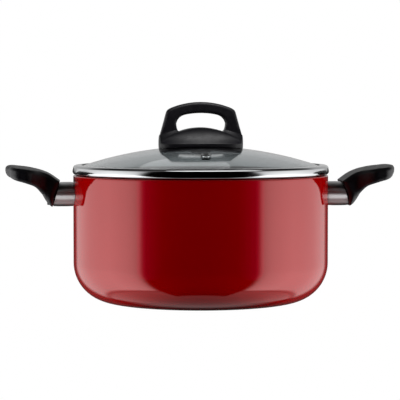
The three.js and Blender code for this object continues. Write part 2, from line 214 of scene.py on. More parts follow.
def outline_distance(outline, u, v):
    """Signed distance in the plane from points (u, v) to a closed outline."""
    u, v = np.broadcast_arrays(np.asarray(u, float), np.asarray(v, float))
    nearest = np.full(u.shape, 1e12)
    inside = np.zeros(u.shape, bool)
    for (ax, ay), (bx, by) in zip(outline, outline[1:] + outline[:1]):
        ex, ey = bx - ax, by - ay
        length2 = ex * ex + ey * ey
        if length2 < 1e-12:
            continue
        t = np.clip(((u - ax) * ex + (v - ay) * ey) / length2, 0, 1)
        nearest = np.minimum(nearest, (u - ax - t * ex) ** 2 + (v - ay - t * ey) ** 2)
        if ey:
            crosses = ((ay > v) != (by > v)) & (u < ax + (v - ay) * ex / ey)
            inside ^= crosses
    distance = np.sqrt(nearest)
    return np.where(inside, -distance, distance)


def both(a, b, radius):
    """What is inside both fields, with the edge between them rounded."""
    outside = np.hypot(np.maximum(a + radius, 0), np.maximum(b + radius, 0))
    return outside + np.minimum(np.maximum(a + radius, b + radius), 0) - radius


def field_mesh(field, low, high, step):
    """Vertices and quads where the field is zero, by surface nets, then drawn onto the surface."""
    low, high = np.array(low, float) - 2.5 * step, np.array(high, float) + 2.5 * step
    axes = [np.arange(a, b, step) for a, b in zip(low, high)]
    shape = tuple(len(a) for a in axes)
    grid = np.broadcast_to(field(*np.ix_(*axes)), shape)
    cells = tuple(n - 1 for n in shape)
    total = np.zeros(cells + (3,))
    hits = np.zeros(cells)
    quads = []
    numbers = np.arange(np.prod(cells)).reshape(cells)
    for axis in range(3):
        here = [slice(None)] * 3
        there = [slice(None)] * 3
        here[axis], there[axis] = slice(None, -1), slice(1, None)
        a, b = grid[tuple(here)], grid[tuple(there)]
        crossing = (a < 0) != (b < 0)
        index = np.argwhere(crossing)
        share = a[crossing] / (a[crossing] - b[crossing])
        points = low + index * step
        points[:, axis] += share * step
        p, q = (axis + 1) % 3, (axis + 2) % 3
        corners = []
        for dp, dq in ((0, 0), (1, 0), (1, 1), (0, 1)):
            cell = index.copy()
            cell[:, p] -= dp
            cell[:, q] -= dq
            np.add.at(total, tuple(cell.T), points)
            np.add.at(hits, tuple(cell.T), 1)
            corners.append(numbers[tuple(cell.T)])
        quad = np.stack(corners, 1)
        flip = a[crossing] < 0
        quad[~flip] = quad[~flip][:, ::-1]
        quads.append(quad)
    quads = np.concatenate(quads)
    used, faces = np.unique(quads, return_inverse=True)
    faces = faces.reshape(quads.shape)
    verts = (total.reshape(-1, 3)[used]) / hits.reshape(-1)[used][:, None]
    return draw_onto(field, verts, step), faces


def draw_onto(field, verts, step):
    """Moves vertices along the field's slope until they lie on its zero surface."""
    reach, rounds, least_slope = 0.05 * step, 4, 0.05
    for _ in range(rounds):
        value = field(*verts.T)
        slope = np.stack([
            (field(*(verts + reach * unit).T) - field(*(verts - reach * unit).T)) / (2 * reach)
            for unit in np.eye(3)
        ], 1)
        move = slope * (value / np.maximum((slope**2).sum(1), least_slope))[:, None]
        length = np.linalg.norm(move, axis=1, keepdims=True)
        verts = verts - move * np.minimum(1, 0.5 * step / np.maximum(length, 1e-9))
    return verts


# ---------------------------------------------------------------- materials

def socket_name(key):
    """Blender's name for a socket, such as "Base Color" for base_color."""
    return key.replace("_", " ").title().replace("Ior", "IOR")


class Shader:
    """Builds one material: a Principled surface with procedural colour, roughness and relief."""

    def __init__(self, name, **settings):
        self.material = bpy.data.materials.new(name)
        self.material.use_nodes = True
        self.tree = self.material.node_tree
        self.surface = self.tree.nodes["Principled BSDF"]
        self.place = self.node("ShaderNodeTexCoord").outputs["Object"]
        for key, value in settings.items():
            self.surface.inputs[socket_name(key)].default_value = value

    def node(self, kind, **settings):
        made = self.tree.nodes.new(kind)
        for key, value in settings.items():
            setattr(made, key, value)
        return made

    def plug(self, value, socket):
        """Links an output to an input, or sets a plain value on it."""
        if isinstance(value, bpy.types.NodeSocket):
            self.tree.links.new(value, socket)
        else:
            socket.default_value = value

    def feed(self, made, **inputs):
        """Links sockets or sets values on a node's inputs by name."""
        for key, value in inputs.items():
            self.plug(value, made.inputs[socket_name(key)])
        return made

    def math(self, operation, first, second=0.0):
        made = self.node("ShaderNodeMath", operation=operation)
        for socket, value in zip(made.inputs, (first, second)):
            self.plug(value, socket)
        return made.outputs[0]

    def polar(self):
        """(radius, height, 0) about the Z axis, so that a pattern on it runs in rings."""
        split = self.feed(self.node("ShaderNodeSeparateXYZ"), Vector=self.place)
        x, y, z = split.outputs
        squares = self.math("ADD", self.math("MULTIPLY", x, x), self.math("MULTIPLY", y, y))
        joined = self.node("ShaderNodeCombineXYZ")
        return self.feed(joined, X=self.math("SQRT", squares), Y=z).outputs[0]

    def stretched(self, vector, scale):
        made = self.node("ShaderNodeMapping")
        return self.feed(made, Vector=vector, Scale=scale).outputs[0]

    def noise(self, scale, detail=3.0, vector=None):
        made = self.node("ShaderNodeTexNoise")
        self.feed(made, Vector=vector or self.place, Scale=scale, Detail=detail)
        return made.outputs["Fac"]

    def flecks(self, scale):
        made = self.node("ShaderNodeTexVoronoi")
        self.feed(made, Vector=self.place, Scale=scale)
        return made.outputs["Distance"]

    def span(self, value, low, high, to_low, to_high, kind="LINEAR"):
        """Maps a range of values onto another, clamped."""
        made = self.node("ShaderNodeMapRange", interpolation_type=kind)
        self.feed(made, Value=value, **{"From_Min": low, "From_Max": high, "To_Min": to_low,
                                        "To_Max": to_high})
        return made.outputs[0]

    def blend(self, share, first, second):
        """Mixes two colours."""
        made = self.node("ShaderNodeMix", data_type="RGBA")
        self.tree.links.new(share, made.inputs[0])
        for socket, value in ((made.inputs[6], first), (made.inputs[7], second)):
            socket.default_value = (*value, 1.0)
        return made.outputs[2]

    def colour(self, socket):
        self.tree.links.new(socket, self.surface.inputs["Base Color"])

    def roughness(self, socket):
        self.tree.links.new(socket, self.surface.inputs["Roughness"])

    def relief(self, height, distance_mm):
        """Bumps of a given height, on top of any relief that is there already."""
        made = self.node("ShaderNodeBump")
        self.feed(made, Height=height, Distance=distance_mm * MM, Strength=1.0)
        previous = self.surface.inputs["Normal"]
        if previous.is_linked:
            self.tree.links.new(previous.links[0].from_socket, made.inputs["Normal"])
        self.tree.links.new(made.outputs[0], previous)


def red_enamel():
    shade = Shader("red_enamel", ior=1.53, metallic=0.1)
    cloud = shade.noise(14.0, 4.0)
    shade.colour(shade.blend(shade.span(cloud, 0.35, 0.65, 0, 1),
                             (0.475, 0.0, 0.0003), (0.505, 0.0, 0.0007)))
    smear = shade.noise(60.0, 5.0)
    shade.roughness(shade.span(smear, 0.3, 0.75, 0.03, 0.06))
    shade.relief(shade.noise(900.0, 2.0), 0.004)
    return shade.material


def nonstick():
    shade = Shader("nonstick_coating", ior=1.45)
    fleck = shade.flecks(900.0)
    shade.colour(shade.blend(shade.span(fleck, 0.1, 0.22, 0, 1), (0.16, 0.16, 0.165),
                             (0.022, 0.022, 0.024)))
    wiped = shade.noise(1.0, 6.0, shade.stretched(shade.polar(), (420.0, 30.0, 1.0)))
    shade.roughness(shade.span(wiped, 0.3, 0.7, 0.32, 0.5))
    shade.relief(shade.noise(1600.0, 3.0), 0.02)
    return shade.material


def polished_steel():
    shade = Shader("polished_steel", metallic=1.0)
    rings = shade.noise(1.0, 4.0, shade.stretched(shade.polar(), (5200.0, 5200.0, 1.0)))
    shade.colour(shade.blend(rings, (0.49, 0.50, 0.51), (0.54, 0.55, 0.56)))
    smear = shade.noise(45.0, 5.0)
    shade.roughness(shade.span(smear, 0.3, 0.7, 0.07, 0.14))
    shade.relief(rings, 0.0015)
    return shade.material


def ferrule_steel():
    shade = Shader("ferrule_steel", metallic=1.0, anisotropic=1.0, anisotropic_rotation=0.25)
    lines = shade.noise(1.0, 3.0, shade.stretched(shade.place, (2500.0, 60.0, 60.0)))
    shade.colour(shade.blend(lines, (0.55, 0.56, 0.565), (0.61, 0.62, 0.625)))
    shade.roughness(shade.span(lines, 0.3, 0.7, 0.46, 0.52))
    shade.relief(shade.noise(300.0), 0.002)
    tangent = shade.node("ShaderNodeTangent", direction_type="RADIAL", axis="X")
    shade.feed(shade.surface, tangent=tangent.outputs[0])
    return shade.material


def turned_metal(name, first, second, rough):
    """Machined metal with fine rings left by the tool."""
    shade = Shader(name, metallic=1.0)
    rings = shade.noise(1.0, 4.0, shade.stretched(shade.polar(), (2600.0, 900.0, 1.0)))
    shade.colour(shade.blend(rings, first, second))
    shade.roughness(shade.span(rings, 0.3, 0.7, rough - 0.06, rough + 0.08))
    shade.relief(rings, 0.008)
    return shade.material


def plated_steel():
    shade = Shader("zinc_steel", metallic=1.0)
    spangle = shade.flecks(700.0)
    shade.colour(shade.blend(spangle, (0.50, 0.52, 0.55), (0.66, 0.67, 0.69)))
    shade.roughness(shade.span(shade.noise(400.0), 0.3, 0.7, 0.25, 0.42))
    shade.relief(shade.noise(1500.0), 0.006)
    return shade.material


def bakelite():
    shade = Shader("black_bakelite", ior=1.43)
    cloud = shade.noise(35.0, 5.0)
    shade.colour(shade.blend(cloud, (0.0075, 0.007, 0.0095), (0.0115, 0.0105, 0.015)))
    worn = shade.noise(220.0, 4.0)
    shade.roughness(shade.span(worn, 0.3, 0.7, 0.4, 0.5))
    shade.relief(shade.noise(1800.0, 2.0), 0.006)
    return shade.material


def silicone():
    shade = Shader("grey_silicone", ior=1.41)
    cloud = shade.noise(180.0, 4.0)
    shade.colour(shade.blend(cloud, (0.045, 0.045, 0.048), (0.065, 0.065, 0.07)))
    shade.roughness(shade.span(cloud, 0.3, 0.7, 0.6, 0.8))
    shade.relief(shade.noise(2500.0), 0.01)
    return shade.material


def lid_glass():
    shade = Shader("lid_glass", ior=1.5, transmission_weight=1.0)
    smear = shade.noise(28.0, 5.0)
    shade.colour(shade.blend(smear, (0.72, 0.775, 0.79), (0.76, 0.81, 0.82)))
    shade.roughness(shade.span(smear, 0.45, 0.8, 0.0, 0.03))
    return shade.material


ENAMEL = red_enamel()
NONSTICK = nonstick()
POLISHED = polished_steel()
FERRULE_STEEL = ferrule_steel()
ALUMINIUM = turned_metal("bare_aluminium", (0.55, 0.55, 0.56), (0.68, 0.68, 0.69), 0.32)
BASE_STEEL = turned_metal("base_steel", (0.46, 0.46, 0.47), (0.6, 0.6, 0.61), 0.3)
BRASS = turned_metal("insert_brass", (0.52, 0.36, 0.13), (0.66, 0.47, 0.2), 0.28)
ZINC = plated_steel()
BAKELITE = bakelite()
SILICONE = silicone()
GLASS = lid_glass()


def finish_piece(piece, material, slot, body, *nodes):
    """Gives a piece its material, ties it to its body and hides the CAD nodes that it replaces; the
    slot is not used.
    """
    piece.data.materials.clear()
    piece.data.materials.append(material)
    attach(piece, body)
    if nodes:
        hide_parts(*nodes)
    return piece


# ---------------------------------------------------------------- pot

def pot_shell():
    inner = POT_RADIUS - WALL
    half = WALL / 2
    gap, edge = 0.3, 0.2
    pocket = DISC_RADIUS + gap
    ceiling = DISC_TOP + gap
    outline = [(0, ceiling), (pocket - 1, ceiling), (pocket, ceiling), (pocket, POT_FOOT + edge)]
    outline += arc(pocket + edge, POT_FOOT + edge, edge, 180, 270, 3)
    outline += arc(POT_RADIUS - CORNER, POT_FOOT + CORNER, CORNER, -90, 0, 40)
    outline += [(POT_RADIUS, z) for z in np.linspace(POT_FOOT + CORNER + 4, POT_TOP - 3, 12)]
    outline += arc(POT_RADIUS - half, POT_TOP - half, half, 0, 180, 16)
    outline += arc(inner - CORNER + WALL, FLOOR + CORNER - WALL, CORNER - WALL, 0, -90, 30)
    outline += [(0, FLOOR)]
    return finish_piece(lathe("pot_shell", outline, 256), ENAMEL, "red_enamel", "pot", "pot_body")


def pot_lining():
    """The non-stick layer: a thin closed skin on the inside, up to the start of the rim's round."""
    gap = 0.02
    inner = POT_RADIUS - WALL - gap
    top = POT_TOP - WALL / 2
    corner = CORNER - WALL
    centre = (inner - corner, FLOOR + gap + corner)
    outside = [(inner, top)] + arc(*centre, corner, 0, -90, 30) + [(0, FLOOR + gap)]
    inside = [(0, FLOOR + COATING)] + arc(*centre, corner - COATING, -90, 0, 30)
    inside += [(inner - COATING, top - 0.3), (inner - COATING * 0.7, top - 0.06)]
    outline = outside + inside
    start = outline.index((0, FLOOR + COATING))
    outline = outline[start:] + outline[:start]
    return finish_piece(lathe("pot_lining", outline, 192), NONSTICK, "nonstick_coating", "pot")


def base_disc():
    """Steel disc with a pattern of small round holes that the aluminium shows through."""
    edge = 0.4
    outline = [(0, 0)] + arc(DISC_RADIUS - edge, edge, edge, -90, 0, 4)
    outline += [(DISC_RADIUS, DISC_TOP), (0, DISC_TOP)]
    disc = lathe("base_disc_plate", outline, 160)
    first_ring, ring_step = 0.24, 0.155
    holes = []
    for ring, count in enumerate((8, 14, 20, 26, 32)):
        reach = DISC_RADIUS * (first_ring + ring_step * ring)
        holes += [(reach, TURN * (i + 0.5 * (ring % 2)) / count) for i in range(count)]
    verts, faces = [], []
    hole, sides = 1.9, 16
    below, above = -1.0, DISC_TOP * 0.6
    for reach, angle in holes:
        start = len(verts)
        x, y = reach * math.cos(angle), reach * math.sin(angle)
        for z in (below, above):
            verts += [(x + hole * math.cos(TURN * k / sides), y + hole * math.sin(TURN * k / sides), z)
                      for k in range(sides)]
        faces.append(tuple(start + k for k in range(sides))[::-1])
        faces.append(tuple(start + sides + k for k in range(sides)))
        faces += [(start + k, start + (k + 1) % sides, start + sides + (k + 1) % sides,
                   start + sides + k) for k in range(sides)]
    cut(disc, make_piece("holes", verts, faces))
    return finish_piece(disc, BASE_STEEL, "base_steel", "pot", "base_disc")


# ---------------------------------------------------------------- handles

# Both handles are made as the right one; the left one is that, turned half round.
SIDES = {"right": Matrix.Identity(4), "left": Matrix.Rotation(math.pi, 4, "Z")}
# Lays a lathe's axis along X, at the handles' height.
ALONG_X = Matrix.Translation((0, 0, HANDLE_Z)) @ Matrix(
    ((0, 0, 1, 0), (1, 0, 0, 0), (0, 1, 0, 0), (0, 0, 0, 1)))

# Both ends of the grip's slanted inner face, in X and Z.
GRIP_TOP_EDGE = (GRIP_HIGH.x - 53.2, GRIP_HIGH.z - 15.3)
GRIP_LOW_EDGE = (GRIP_HIGH.x - 46.1, GRIP_LOW.z)


def grip_side_outline():
    """Side view of a grip in X and Z, from the slanted face round over the top."""
    tip, top, bottom = GRIP_HIGH.x, GRIP_HIGH.z, GRIP_LOW.z
    outline = spline([GRIP_TOP_EDGE, (tip - 41, top - 7.4), (tip - 25, top - 2.2),
                      (tip - 9, top - 0.1)], 10)
    outline += bezier([outline[-1], (tip - 0.2, top + 0.7), (tip, top - 3.8)], 10)
    outline += bezier([outline[-1], (tip, top - 9.3), (tip - 5.4, top - 11)], 10)
    outline += spline([outline[-1], (tip - 19, top - 14.3), (tip - 29, top - 18.8),
                       (tip - 36.6, top - 27.6)], 10)[1:]
    outline += bezier([outline[-1], (tip - 41.4, bottom + 2), GRIP_LOW_EDGE], 10)
    return outline


def grip_plan_outline():
    """Plan view of a grip in X and Y: a narrow root that flares to a wide rounded end."""
    tip, wide = GRIP_HIGH.x, GRIP_HIGH.y
    root = 22.5
    shoulder = (tip - 4.5, -wide / 2)
    half = [(tip - 70, -root), (tip - 43, -root)]
    half += bezier([half[-1], (tip - 33, -root), (tip - 32, -wide), (tip - 21, -wide)], 14)
    half += bezier([(tip - 16, -wide), (tip - 6.5, -wide), shoulder], 12)
    half += bezier([shoulder, (tip, -wide / 4), (tip, 0)], 10)
    return half + [(x, -y) for x, y in reversed(half[:-1])]


def grip_field():
    """Distance field of the right grip with its tenon, screw way and counterbore."""
    side, plan = grip_side_outline(), grip_plan_outline()
    round_start, round_length = GRIP_HIGH.z - 6, 20
    top_round, more_below = 3.2, 3.6
    tenon_y, tenon_z, oval_scale = 19.6, 10.35, 10
    tenon_middle, tenon_half = 138, 10
    recess_radius, recess_floor, recess_edge = 5.5, 144.5, 0.7
    way_radius = 2.8
    pocket_radius, pocket_end = 5.3, 133.3

    def field(x, y, z):
        depth = np.clip((round_start - z) / round_length, 0, 1)
        edge = top_round + more_below * depth
        body = both(outline_distance(side, x, z), outline_distance(plan, x, y), edge)
        oval = np.hypot(y / tenon_y, (z - HANDLE_Z) / tenon_z) - 1
        tenon = np.maximum(oval * oval_scale, np.abs(x - tenon_middle) - tenon_half)
        solid = np.minimum(body, tenon)
        around = np.hypot(y, z - HANDLE_Z)
        recess = np.maximum(around - recess_radius, recess_floor - x)
        way = around - way_radius
        pocket = np.maximum(around - pocket_radius, x - pocket_end)
        return both(np.maximum(solid, -np.minimum(way, pocket)), -recess, recess_edge)

    return field


def make_grips():
    """Both grips, from one mesh. The flared end droops a little towards its sides."""
    cell, sharp_degrees = 0.8, 50
    verts, faces = field_mesh(grip_field(), GRIP_LOW, GRIP_HIGH, cell)
    crown, flare_start, flare_length = 1.6, 148, 14
    flared = np.clip((verts[:, 0] - flare_start) / flare_length, 0, 1)
    verts[:, 2] -= crown * flared * (verts[:, 1] / GRIP_HIGH.y) ** 2
    for side, turn in SIDES.items():
        sign = turn[0][0]
        turned = verts * np.array((sign, sign, 1.0))
        name = f"{side}_grip_moulding"
        piece = make_piece(name, turned.tolist(), faces.tolist(), sharp_degrees)
        finish_piece(piece, BAKELITE, "black_bakelite", "pot", f"{side}_grip")


def make_ferrule(side):
    """Oval sleeve with its inner end following the pot's wall and its outer end the grip's slant."""
    half_y, half_z = FERRULE_HIGH.y, (FERRULE_HIGH.z - FERRULE_LOW.z) / 2
    sheet, steps = 1.0, 128
    wall_gap, grip_gap = 0.3, 0.35
    slant = (GRIP_LOW_EDGE[0] - GRIP_TOP_EDGE[0]) / (GRIP_TOP_EDGE[1] - GRIP_LOW_EDGE[1])
    verts = []
    rows = ((0.0, 0.25), (0.25, 0.0), (0.5, 0.0), (0.75, 0.0), (1.0, 0.25), (1.0, 1.0), (0.0, 1.0))
    for k in range(steps):
        angle = TURN * k / steps
        for share, inset in rows:
            y = (half_y - inset * sheet) * math.cos(angle)
            z = (half_z - inset * sheet) * math.sin(angle)
            start = math.sqrt((POT_RADIUS + wall_gap) ** 2 - y**2)
            end = GRIP_LOW_EDGE[0] - grip_gap - slant * (z + HANDLE_Z - GRIP_LOW_EDGE[1])
            verts.append((start + share * (end - start), y, HANDLE_Z + z))
    count = len(rows)
    faces = []
    for k in range(steps):
        here, there = k * count, (k + 1) % steps * count
        for r in range(count):
            n = (r + 1) % count
            faces.append((here + r, there + r, there + n, here + n))
    turn = SIDES[side]
    piece = make_piece(f"{side}_ferrule_sleeve", [tuple(turn @ Vector(v)) for v in verts], faces)
    finish_piece(piece, FERRULE_STEEL, "ferrule_steel", "pot", f"{side}_ferrule")


def screw(name, shank, head, head_length, tip, face, place):
    """Pan-head screw with a cross recess. Its head's outer face is at height `face`."""
    side = math.copysign(1, face - tip)
    neck = face - side * head_length
    point = shank * 0.4
    outline = [(0, tip), (shank * 0.75, tip), (shank, tip + side * point)]
    pitch, groove, run_in = 0.8, 0.3, 0.3
    turns = int(abs(neck - tip) / pitch) - 2
    for i in range(turns):
        z = tip + side * (point + run_in + i * pitch)
        outline += [(shank, z), (shank - groove, z + side * pitch / 2)]
    outline += [(shank, neck - side * 0.5), (shank, neck), (head, neck)]
    edge = 0.9
    outline += [(head - edge + edge * math.cos(a), face - side * (edge - edge * math.sin(a)))
                for a in np.linspace(0, math.pi / 2, 6)]
    outline += [(head * 0.4, face), (0, face)]
    piece = lathe(name, outline, 48, place)
    cross_reach, cross_half, above, below = 2.6, 0.55, 0.4, -1.5
    for wide, deep in ((cross_reach, cross_half), (cross_half, cross_reach)):
        corners = [(sx * wide, sy * deep, face + side * dz)
                   for dz in (above, below) for sx, sy in ((1, 1), (-1, 1), (-1, -1), (1, -1))]
        corners = [tuple(place @ Vector(c)) for c in corners]
        faces = [(0, 1, 2, 3), (7, 6, 5, 4)]
        faces += [(k, 4 + k, 4 + (k + 1) % 4, (k + 1) % 4) for k in range(4)]
        cut(piece, make_piece("recess", corners, faces))
    return piece


def make_hardware(side):
    """Stud, washer and screw inside one handle."""
    place = SIDES[side] @ ALONG_X
    rings = (
        ("stud", "weld_stud", 2.7, 5.0, 0.3, ALUMINIUM, "bare_aluminium"),
        ("washer", "screw_washer", 2.8, 4.7, 0.2, ZINC, "zinc_steel"),
    )
    for name, node, bore, radius, edge, material, slot in rings:
        low, high = (corner.x for corner in box_mm(f"right_{node}"))
        ring = lathe(f"{side}_{name}", rounded_box(bore, low, radius, high, edge), 48, place)
        finish_piece(ring, material, slot, "pot", f"{side}_{node}")
    low, high = (corner.x for corner in box_mm("right_handle_screw"))
    shank, head, head_length = 2.35, 4.5, 3.0
    made = screw(f"{side}_grip_screw", shank, head, head_length, low, high, place)
    finish_piece(made, ZINC, "zinc_steel", "pot", f"{side}_handle_screw")


# ---------------------------------------------------------------- lid

# The vent stands square on the dome, in front of the knob.
VENT_PLACE = (Matrix.Translation((0, -VENT_REACH, dome_z(VENT_REACH)))
              @ Matrix.Rotation(VENT_TILT, 4, "X"))


def make_glass():
    """Domed glass with a rounded edge, a centre hole and a drilled vent hole."""
    inner = DOME_RADIUS - GLASS_THICK
    edge, chamfer, drill_radius = 1.4, 0.4, 3.9

    def face(radius, first, last, steps):
        angles = [math.degrees(math.acos(r / radius)) for r in (first, last)]
        return arc(0, DOME_CENTRE, radius, *angles, steps)

    outline = face(inner, GLASS_BORE + chamfer, GLASS_EDGE - edge, 48)
    outline += bezier([outline[-1], (GLASS_EDGE - 0.3, dome_z(GLASS_EDGE, -GLASS_THICK)),
                       (GLASS_EDGE, dome_z(GLASS_EDGE) - GLASS_THICK / 2)], 5)
    outline += bezier([outline[-1], (GLASS_EDGE - 0.1, dome_z(GLASS_EDGE)),
                       (GLASS_EDGE - edge, dome_z(GLASS_EDGE - edge))], 5)
    outline += face(DOME_RADIUS, GLASS_EDGE - edge - 0.5, GLASS_BORE + chamfer, 48)
    outline += [(GLASS_BORE, DOME_TOP - chamfer), (GLASS_BORE, DOME_TOP - GLASS_THICK + chamfer)]
    glass = lathe("lid_dome", outline, 192)
    drill = [(0, -12), (drill_radius, -12), (drill_radius, 6), (0, 6)]
    cut(glass, lathe("drill", drill, 48, VENT_PLACE))
    return finish_piece(glass, GLASS, "lid_glass", "lid", "glass_lid")


def make_rim():
    """Steel sheet folded round the edge of the glass, with a skirt that drops inside the pot."""
    height = 9.2
    top_round, bottom_round = 2.8, 3.5
    lean = 0.6
    lip, skirt, drop, leg = 115.0, 118.6, 5.2, 2.2
    outer = RIM_RADIUS
    top_centre = outer - lean - top_round
    bead = SHEET / 2
    outline = arc(lip + bead, height + 0.4 - bead, bead, 90, 270, 8)
    outline += arc(top_centre, height - top_round, top_round - SHEET, 90, 0, 8)
    outline += arc(outer - bottom_round, bottom_round, bottom_round - SHEET, 0, -90, 10)
    outline += [(skirt + 0.4, SHEET), (skirt, SHEET + 0.4), (skirt, leg - 0.2)]
    outline += [(skirt - 0.2, leg), (skirt - SHEET + 0.2, leg), (skirt - SHEET, leg - 0.2)]
    outline += [(skirt - SHEET, -drop + bead)]
    outline += arc(skirt - bead, -drop + bead, bead, 180, 360, 8)
    outline += [(skirt, -0.5), (skirt + 0.15, -0.15), (skirt + 0.5, 0)]
    outline += arc(outer - bottom_round, bottom_round, bottom_round, -90, 0, 16)
    outline += arc(top_centre, height - top_round, top_round, 0, 90, 12)
    outline = [(r, z + SEAT) for r, z in outline]
    return finish_piece(lathe("lid_band", outline, 256), POLISHED, "polished_steel", "lid", "lid_rim")


def make_vent():
    """Flared eyelet through the glass, and the washer that it is flared over."""
    flare_top = -GLASS_THICK - 1.4
    outline = [(1.8, flare_top - 0.8), (4.2, flare_top - 0.8), (4.4, flare_top - 0.6),
               (4.4, flare_top), (3.4, flare_top), (3.4, 0.3), (4.9, 0.3), (5.0, 0.5)]
    outline += bezier([(5.0, 0.5), (4.9, 1.15), (3.9, 1.2)], 5)
    outline += bezier([(3.9, 1.2), (2.6, 1.3), (2.0, 0.5)], 6)
    outline += [(1.8, 0.1)]
    eyelet = lathe("vent_ring", outline, 48, VENT_PLACE)
    finish_piece(eyelet, POLISHED, "polished_steel", "lid", "vent_eyelet")
    top = -GLASS_THICK - 0.3
    washer = lathe("vent_backing", rounded_box(3.8, top - 0.8, 5.2, top, 0.15), 48, VENT_PLACE)
    finish_piece(washer, ZINC, "zinc_steel", "lid", "vent_washer")


def knob_plan_outline():
    """Superelliptic plan of the knob's base."""
    power, steps = 3.0, 96
    outline = []
    for i in range(steps):
        c, s = math.cos(TURN * i / steps), math.sin(TURN * i / steps)
        outline.append((KNOB_HIGH.x * math.copysign(abs(c) ** (2 / power), c),
                        KNOB_HIGH.y * math.copysign(abs(s) ** (2 / power), s)))
    return outline


# Middle height of the ridge that runs across the knob's base, under the finger opening.
RIDGE = KNOB_HIGH.z - 24.5


def crease_z(x):
    """Upper edge of the sloping front panel."""
    return RIDGE - 0.0085 * x**2


def foot_z(x):
    """Line where the arch's flat face starts."""
    return RIDGE - 0.0043 * x**2


def arch_outline():
    """Front view of the knob's outer edge, in X and Z."""
    top = KNOB_HIGH.z
    shoulder = 33.2
    radius = 76.0
    angle = math.degrees(math.asin((shoulder - 4.5) / radius))
    wide = KNOB_HIGH.x
    half = [(wide - 0.6, KNOB_LOW.z - 3), (wide, top - 41), (wide - 0.1, top - 37)]
    half += bezier([half[-1], (wide - 0.5, top - 33.5), (39.9, top - 32.0)], 6)
    half += [(39.2, top - 31.4), (38.9, top - 30.0), (shoulder + 0.3, top - 10.2)]
    crown = arc(0, top - radius, radius, 90 - angle, 90, 24)
    half += bezier([half[-1], (shoulder - 0.4, top - 7.4), crown[0]], 8) + crown[1:]
    return half + [(-x, z) for x, z in reversed(half[:-1])]


def opening_outline():
    """Front view of the finger opening; its lower edge is the base's ridge."""
    top = KNOB_HIGH.z - 10.7
    wide, corner = 23.9, 8.5
    drop = 1.6
    half = [(0, top)] + bezier([(0, top), (8, top), (wide - corner, top - drop)], 10)
    half += bezier([half[-1], (wide - 1.6, top - drop - 1.6), (wide, top - drop - corner)], 10)
    half += [(wide - 0.2, RIDGE + 1.5)]
    inner = wide - 3.2
    half += bezier([half[-1], (wide - 0.9, crease_z(wide) + 0.6), (inner, crease_z(inner))], 6)
    half += [(x, crease_z(x)) for x in np.linspace(wide - 5, 0, 16)]
    return half + [(-x, z) for x, z in reversed(half[1:-1])]


def knob_field():
    """Distance field of the knob: an outline with an opening, as deep as its front relief says."""
    plan, arch, opening = knob_plan_outline(), arch_outline(), opening_outline()
    arch_depth, crease_depth = 7.6, 10.2
    skirt = KNOB_HIGH.z - 40.1
    hollowing = 1.8
    shell = 3.4
    flare_height = 14
    boss_low, boss_radius = DOME_TOP + 1.8, 9.0
    socket_radius, socket_depth = 4.3, 12.9
    dome_gap, dome_edge = 0.08, 0.5
    low_edge, more_above = 0.7, 2.3

    def half_depth(x, z):
        """Half depth of the knob at a place of its front view."""
        spread = np.clip(np.abs(x) / KNOB_HIGH.x, 0, 0.999)
        edge = KNOB_HIGH.y * (1 - spread**3) ** (1 / 3)
        crease = np.minimum(crease_depth - 1.2 * spread**2, edge)
        high, low = foot_z(x), crease_z(x)
        panel = np.clip((low - z) / np.maximum(low - skirt, 0.6), 0, 1)
        ledge = np.clip((high - z) / np.maximum(high - low, 0.4), 0, 1)
        flare = np.clip((z - KNOB_HIGH.z + flare_height) / flare_height, 0, 1)
        face = arch_depth - flare
        return face + ledge * (crease - face) + panel**hollowing * (edge - crease)

    def base_only(x, y, z):
        return np.maximum(outline_distance(plan, x, y), (np.abs(y) - half_depth(x, z)) * 0.75)

    def field(x, y, z):
        front = np.maximum(outline_distance(arch, x, z), -outline_distance(opening, x, z))
        upper = np.clip((z - foot_z(x) - 1.0) / 5.0, 0, 1)
        relief = (np.abs(y) - half_depth(x, z)) * (0.78 + 0.22 * upper)
        solid = both(front, relief, low_edge + more_above * upper)
        solid = both(solid, outline_distance(plan, x, y), low_edge)
        dome = np.sqrt(x**2 + y**2 + (z - DOME_CENTRE) ** 2) - DOME_RADIUS - dome_gap
        solid = both(solid, -dome, dome_edge)
        roof = (z - crease_z(x) + shell) * 0.85
        hollow = np.maximum(base_only(x, y, z) + shell, roof)
        around = np.hypot(x, y)
        boss = np.maximum(around - boss_radius, boss_low - z)
        boss = np.maximum(boss, z - RIDGE + 2)
        socket = np.maximum(around - socket_radius, z - boss_low - socket_depth)
        solid = np.maximum(solid, -hollow)
        return np.maximum(np.minimum(solid, boss), -socket)

    return field


def make_knob():
    cell, sharp_degrees = 0.6, 42
    verts, faces = field_mesh(knob_field(), KNOB_LOW, KNOB_HIGH, cell)
    piece = make_piece("loop_knob", verts.tolist(), faces.tolist(), sharp_degrees)
    return finish_piece(piece, BAKELITE, "black_bakelite", "lid", "lid_knob")


def make_bolt_stack():
    """Insert, seal, gasket, washer and screw through the middle of the glass."""
    stack = (
        ("insert_sleeve", "knob_insert", 2.75, 0.3, BRASS, "insert_brass"),
        ("seal_ring", "knob_seal", 3.0, 0.4, SILICONE, "grey_silicone"),
        ("gasket_ring", "lid_gasket", 3.0, 0.5, SILICONE, "grey_silicone"),
        ("washer_ring", "lid_washer", 2.9, 0.35, ZINC, "zinc_steel"),
    )
    for name, node, bore, edge, material, slot in stack:
        low, high = box_mm(node)
        ring = lathe(name, rounded_box(bore, low.z, high.x, high.z, edge), 64)
        finish_piece(ring, material, slot, "lid", node)
    low, high = box_mm("lid_screw")
    shank, head, head_length = 2.4, 4.8, 2.5
    made = screw("lid_bolt", shank, head, head_length, high.z, low.z, Matrix.Identity(4))
    finish_piece(made, ZINC, "zinc_steel", "lid", "lid_screw")


pot_shell()
pot_lining()
base_disc()
make_grips()
for side in SIDES:
    make_ferrule(side)
    make_hardware(side)
make_glass()
make_rim()
make_vent()
make_knob()
make_bolt_stack()


# ---------------------------------------------------------------- floor, light and camera

